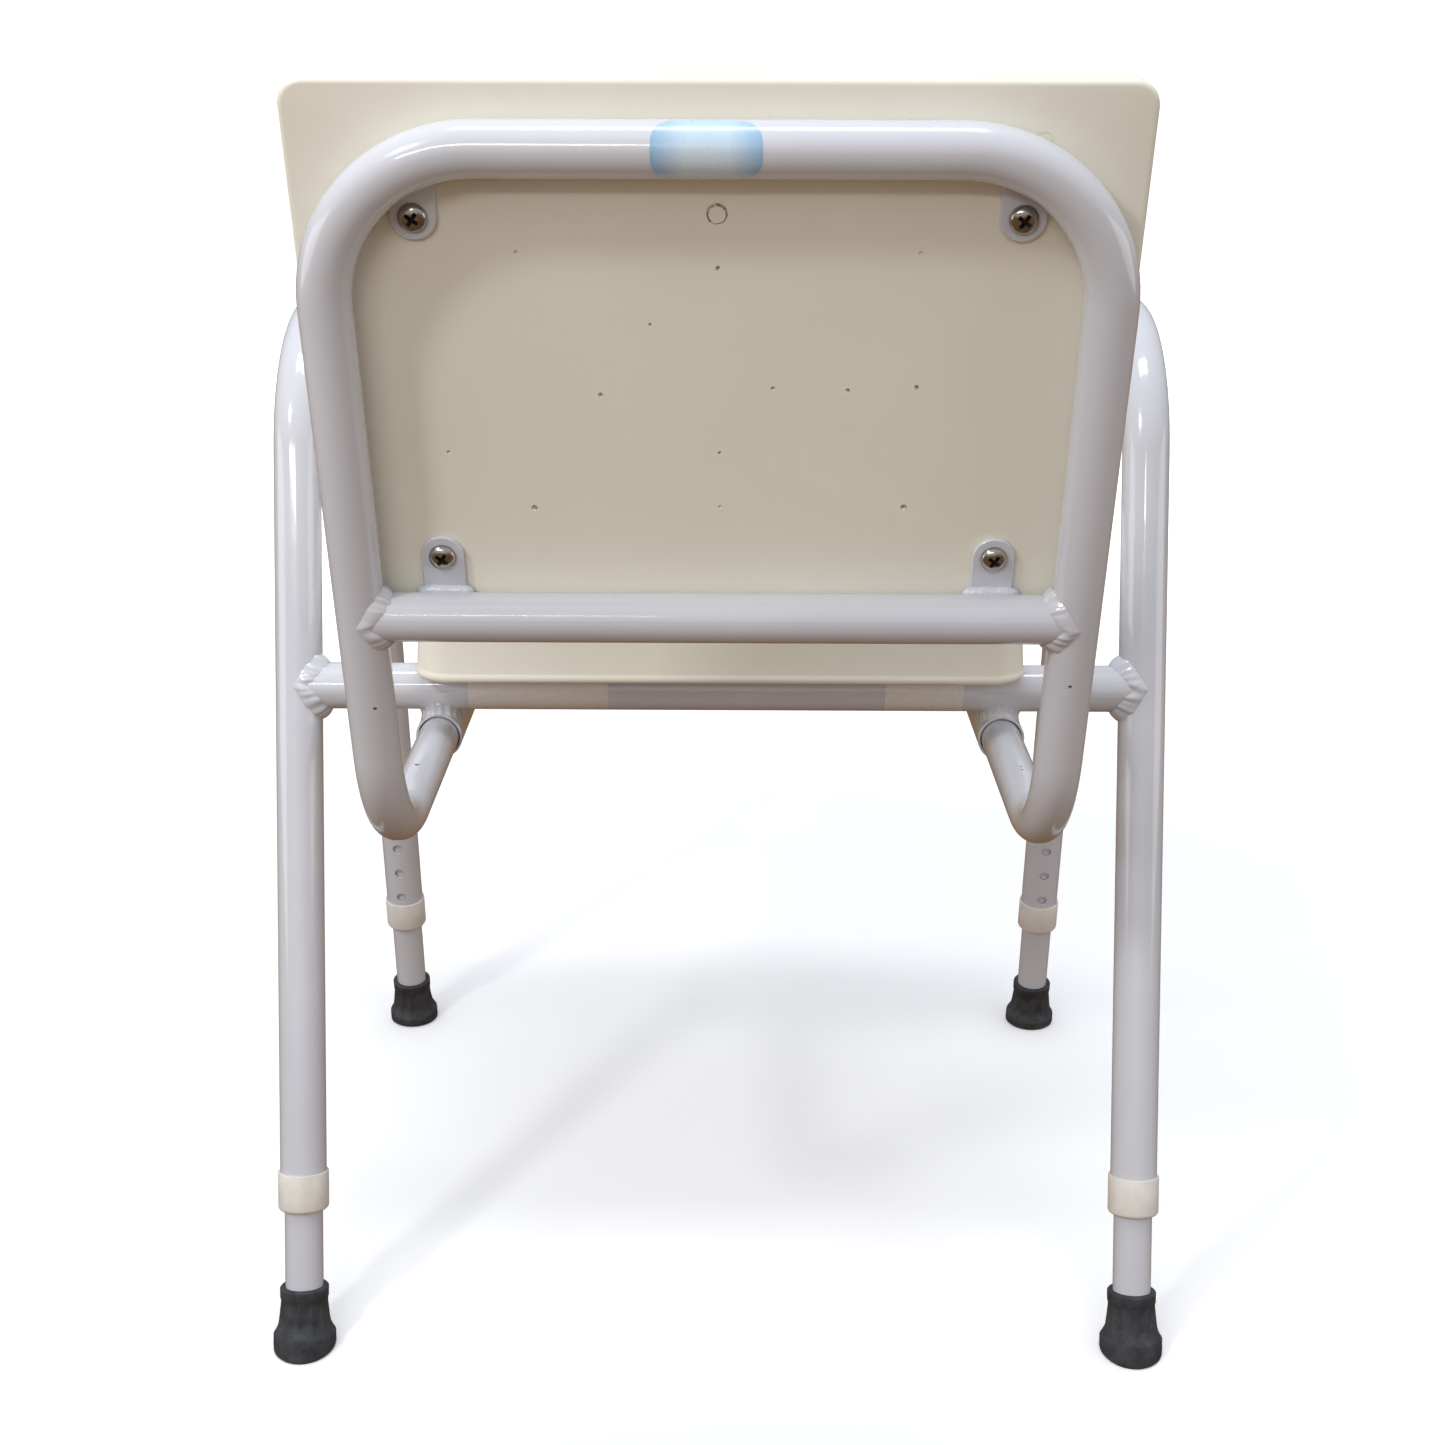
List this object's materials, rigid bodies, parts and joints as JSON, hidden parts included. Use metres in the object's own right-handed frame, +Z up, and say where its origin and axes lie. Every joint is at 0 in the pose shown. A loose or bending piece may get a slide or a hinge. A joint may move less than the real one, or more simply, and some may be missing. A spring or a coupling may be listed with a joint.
{
  "type": "shower stool",
  "caption": "White tubular shower stool with arm loops, a cream moulded seat, button-adjusted legs with rubber feet and a plug-in reclined backrest.",
  "frame": {"origin": "on the floor under the middle of the whole stool, backrest included", "axes": "+Z up, +Y from the front of the seat to the backrest, +X to the sitter's left"},
  "size_m": [0.6212, 0.7077, 0.8473],
  "materials": {
    "powder_coat": "gloss white powder coat on steel tube",
    "moulded_board": "ivory moulded board, satin",
    "collar_plastic": "off-white moulded plastic",
    "foot_rubber": "moulded dark grey rubber",
    "screw_steel": "bright stainless steel",
    "spring_steel": "spring steel strip"
  },
  "bodies": {
    "frame": {"side_frame_left": "powder_coat", "socket_rail_left": "powder_coat", "side_frame_right": "powder_coat", "socket_rail_right": "powder_coat", "rear_crossbar": "powder_coat", "front_crossbar": "powder_coat", "seat": "moulded_board", "seat_tab_rear_left": "powder_coat", "seat_screw_rear_left": "screw_steel", "leg_collar_rear_left": "collar_plastic", "seat_tab_rear_right": "powder_coat", "seat_screw_rear_right": "screw_steel", "leg_collar_rear_right": "collar_plastic", "seat_tab_front_left": "powder_coat", "seat_screw_front_left": "screw_steel", "leg_collar_front_left": "collar_plastic", "seat_tab_front_right": "powder_coat", "seat_screw_front_right": "screw_steel", "leg_collar_front_right": "collar_plastic"},
    "leg_rear_left": {"leg_tube_rear_left": "powder_coat", "rubber_foot_rear_left": "foot_rubber", "foot_washer_rear_left": "screw_steel", "leg_spring_rear_left": "spring_steel"},
    "leg_button_rear_left": {"leg_button_rear_left": "screw_steel"},
    "leg_rear_right": {"leg_tube_rear_right": "powder_coat", "rubber_foot_rear_right": "foot_rubber", "foot_washer_rear_right": "screw_steel", "leg_spring_rear_right": "spring_steel"},
    "leg_button_rear_right": {"leg_button_rear_right": "screw_steel"},
    "leg_front_left": {"leg_tube_front_left": "powder_coat", "rubber_foot_front_left": "foot_rubber", "foot_washer_front_left": "screw_steel", "leg_spring_front_left": "spring_steel"},
    "leg_button_front_left": {"leg_button_front_left": "screw_steel"},
    "leg_front_right": {"leg_tube_front_right": "powder_coat", "rubber_foot_front_right": "foot_rubber", "foot_washer_front_right": "screw_steel", "leg_spring_front_right": "spring_steel"},
    "leg_button_front_right": {"leg_button_front_right": "screw_steel"},
    "backrest": {"back_tube": "powder_coat", "back_cross_tube": "powder_coat", "back_panel": "moulded_board", "back_tab_upper_left": "powder_coat", "back_screw_upper_left": "screw_steel", "back_tab_upper_right": "powder_coat", "back_screw_upper_right": "screw_steel", "back_tab_lower_left": "powder_coat", "back_screw_lower_left": "screw_steel", "back_tab_lower_right": "powder_coat", "back_screw_lower_right": "screw_steel", "back_spring_left": "spring_steel", "back_spring_right": "spring_steel"},
    "back_button_left": {"back_button_left": "screw_steel"},
    "back_button_right": {"back_button_right": "screw_steel"}
  },
  "joints": [
    {"name": "leg_rear_left_height", "type": "slide", "parent": "frame", "child": "leg_rear_left", "axis": [0, 0.2723, -0.9622], "range_m": [-0.05, 0.075], "deforming": ["leg_button_rear_left"]},
    {"name": "leg_rear_left_button_press", "type": "slide", "parent": "leg_rear_left", "child": "leg_button_rear_left", "axis": [0, 0.9622, 0.2723], "range_m": [0, 0.003], "stiffness_N_per_m": 900, "deforming": ["leg_spring_rear_left"]},
    {"name": "leg_rear_right_height", "type": "slide", "parent": "frame", "child": "leg_rear_right", "axis": [0, 0.2723, -0.9622], "range_m": [-0.05, 0.075], "deforming": ["leg_button_rear_right"]},
    {"name": "leg_rear_right_button_press", "type": "slide", "parent": "leg_rear_right", "child": "leg_button_rear_right", "axis": [0, 0.9622, 0.2723], "range_m": [0, 0.003], "stiffness_N_per_m": 900, "deforming": ["leg_spring_rear_right"]},
    {"name": "leg_front_left_height", "type": "slide", "parent": "frame", "child": "leg_front_left", "axis": [0, -0.1184, -0.993], "range_m": [-0.05, 0.075], "deforming": ["leg_button_front_left"]},
    {"name": "leg_front_left_button_press", "type": "slide", "parent": "leg_front_left", "child": "leg_button_front_left", "axis": [0, -0.993, 0.1184], "range_m": [0, 0.003], "stiffness_N_per_m": 900, "deforming": ["leg_spring_front_left"]},
    {"name": "leg_front_right_height", "type": "slide", "parent": "frame", "child": "leg_front_right", "axis": [0, -0.1184, -0.993], "range_m": [-0.05, 0.075], "deforming": ["leg_button_front_right"]},
    {"name": "leg_front_right_button_press", "type": "slide", "parent": "leg_front_right", "child": "leg_button_front_right", "axis": [0, -0.993, 0.1184], "range_m": [0, 0.003], "stiffness_N_per_m": 900, "deforming": ["leg_spring_front_right"]},
    {"name": "backrest_pull_out", "type": "slide", "parent": "frame", "child": "backrest", "axis": [0, 1, 0], "range_m": [0, 0.14], "deforming": ["back_button_left", "back_button_right"]},
    {"name": "back_left_button_press", "type": "slide", "parent": "backrest", "child": "back_button_left", "axis": [0, 0, 1], "range_m": [0, 0.003], "stiffness_N_per_m": 900, "deforming": ["back_spring_left"]},
    {"name": "back_right_button_press", "type": "slide", "parent": "backrest", "child": "back_button_right", "axis": [0, 0, 1], "range_m": [0, 0.003], "stiffness_N_per_m": 900, "deforming": ["back_spring_right"]}
  ]
}
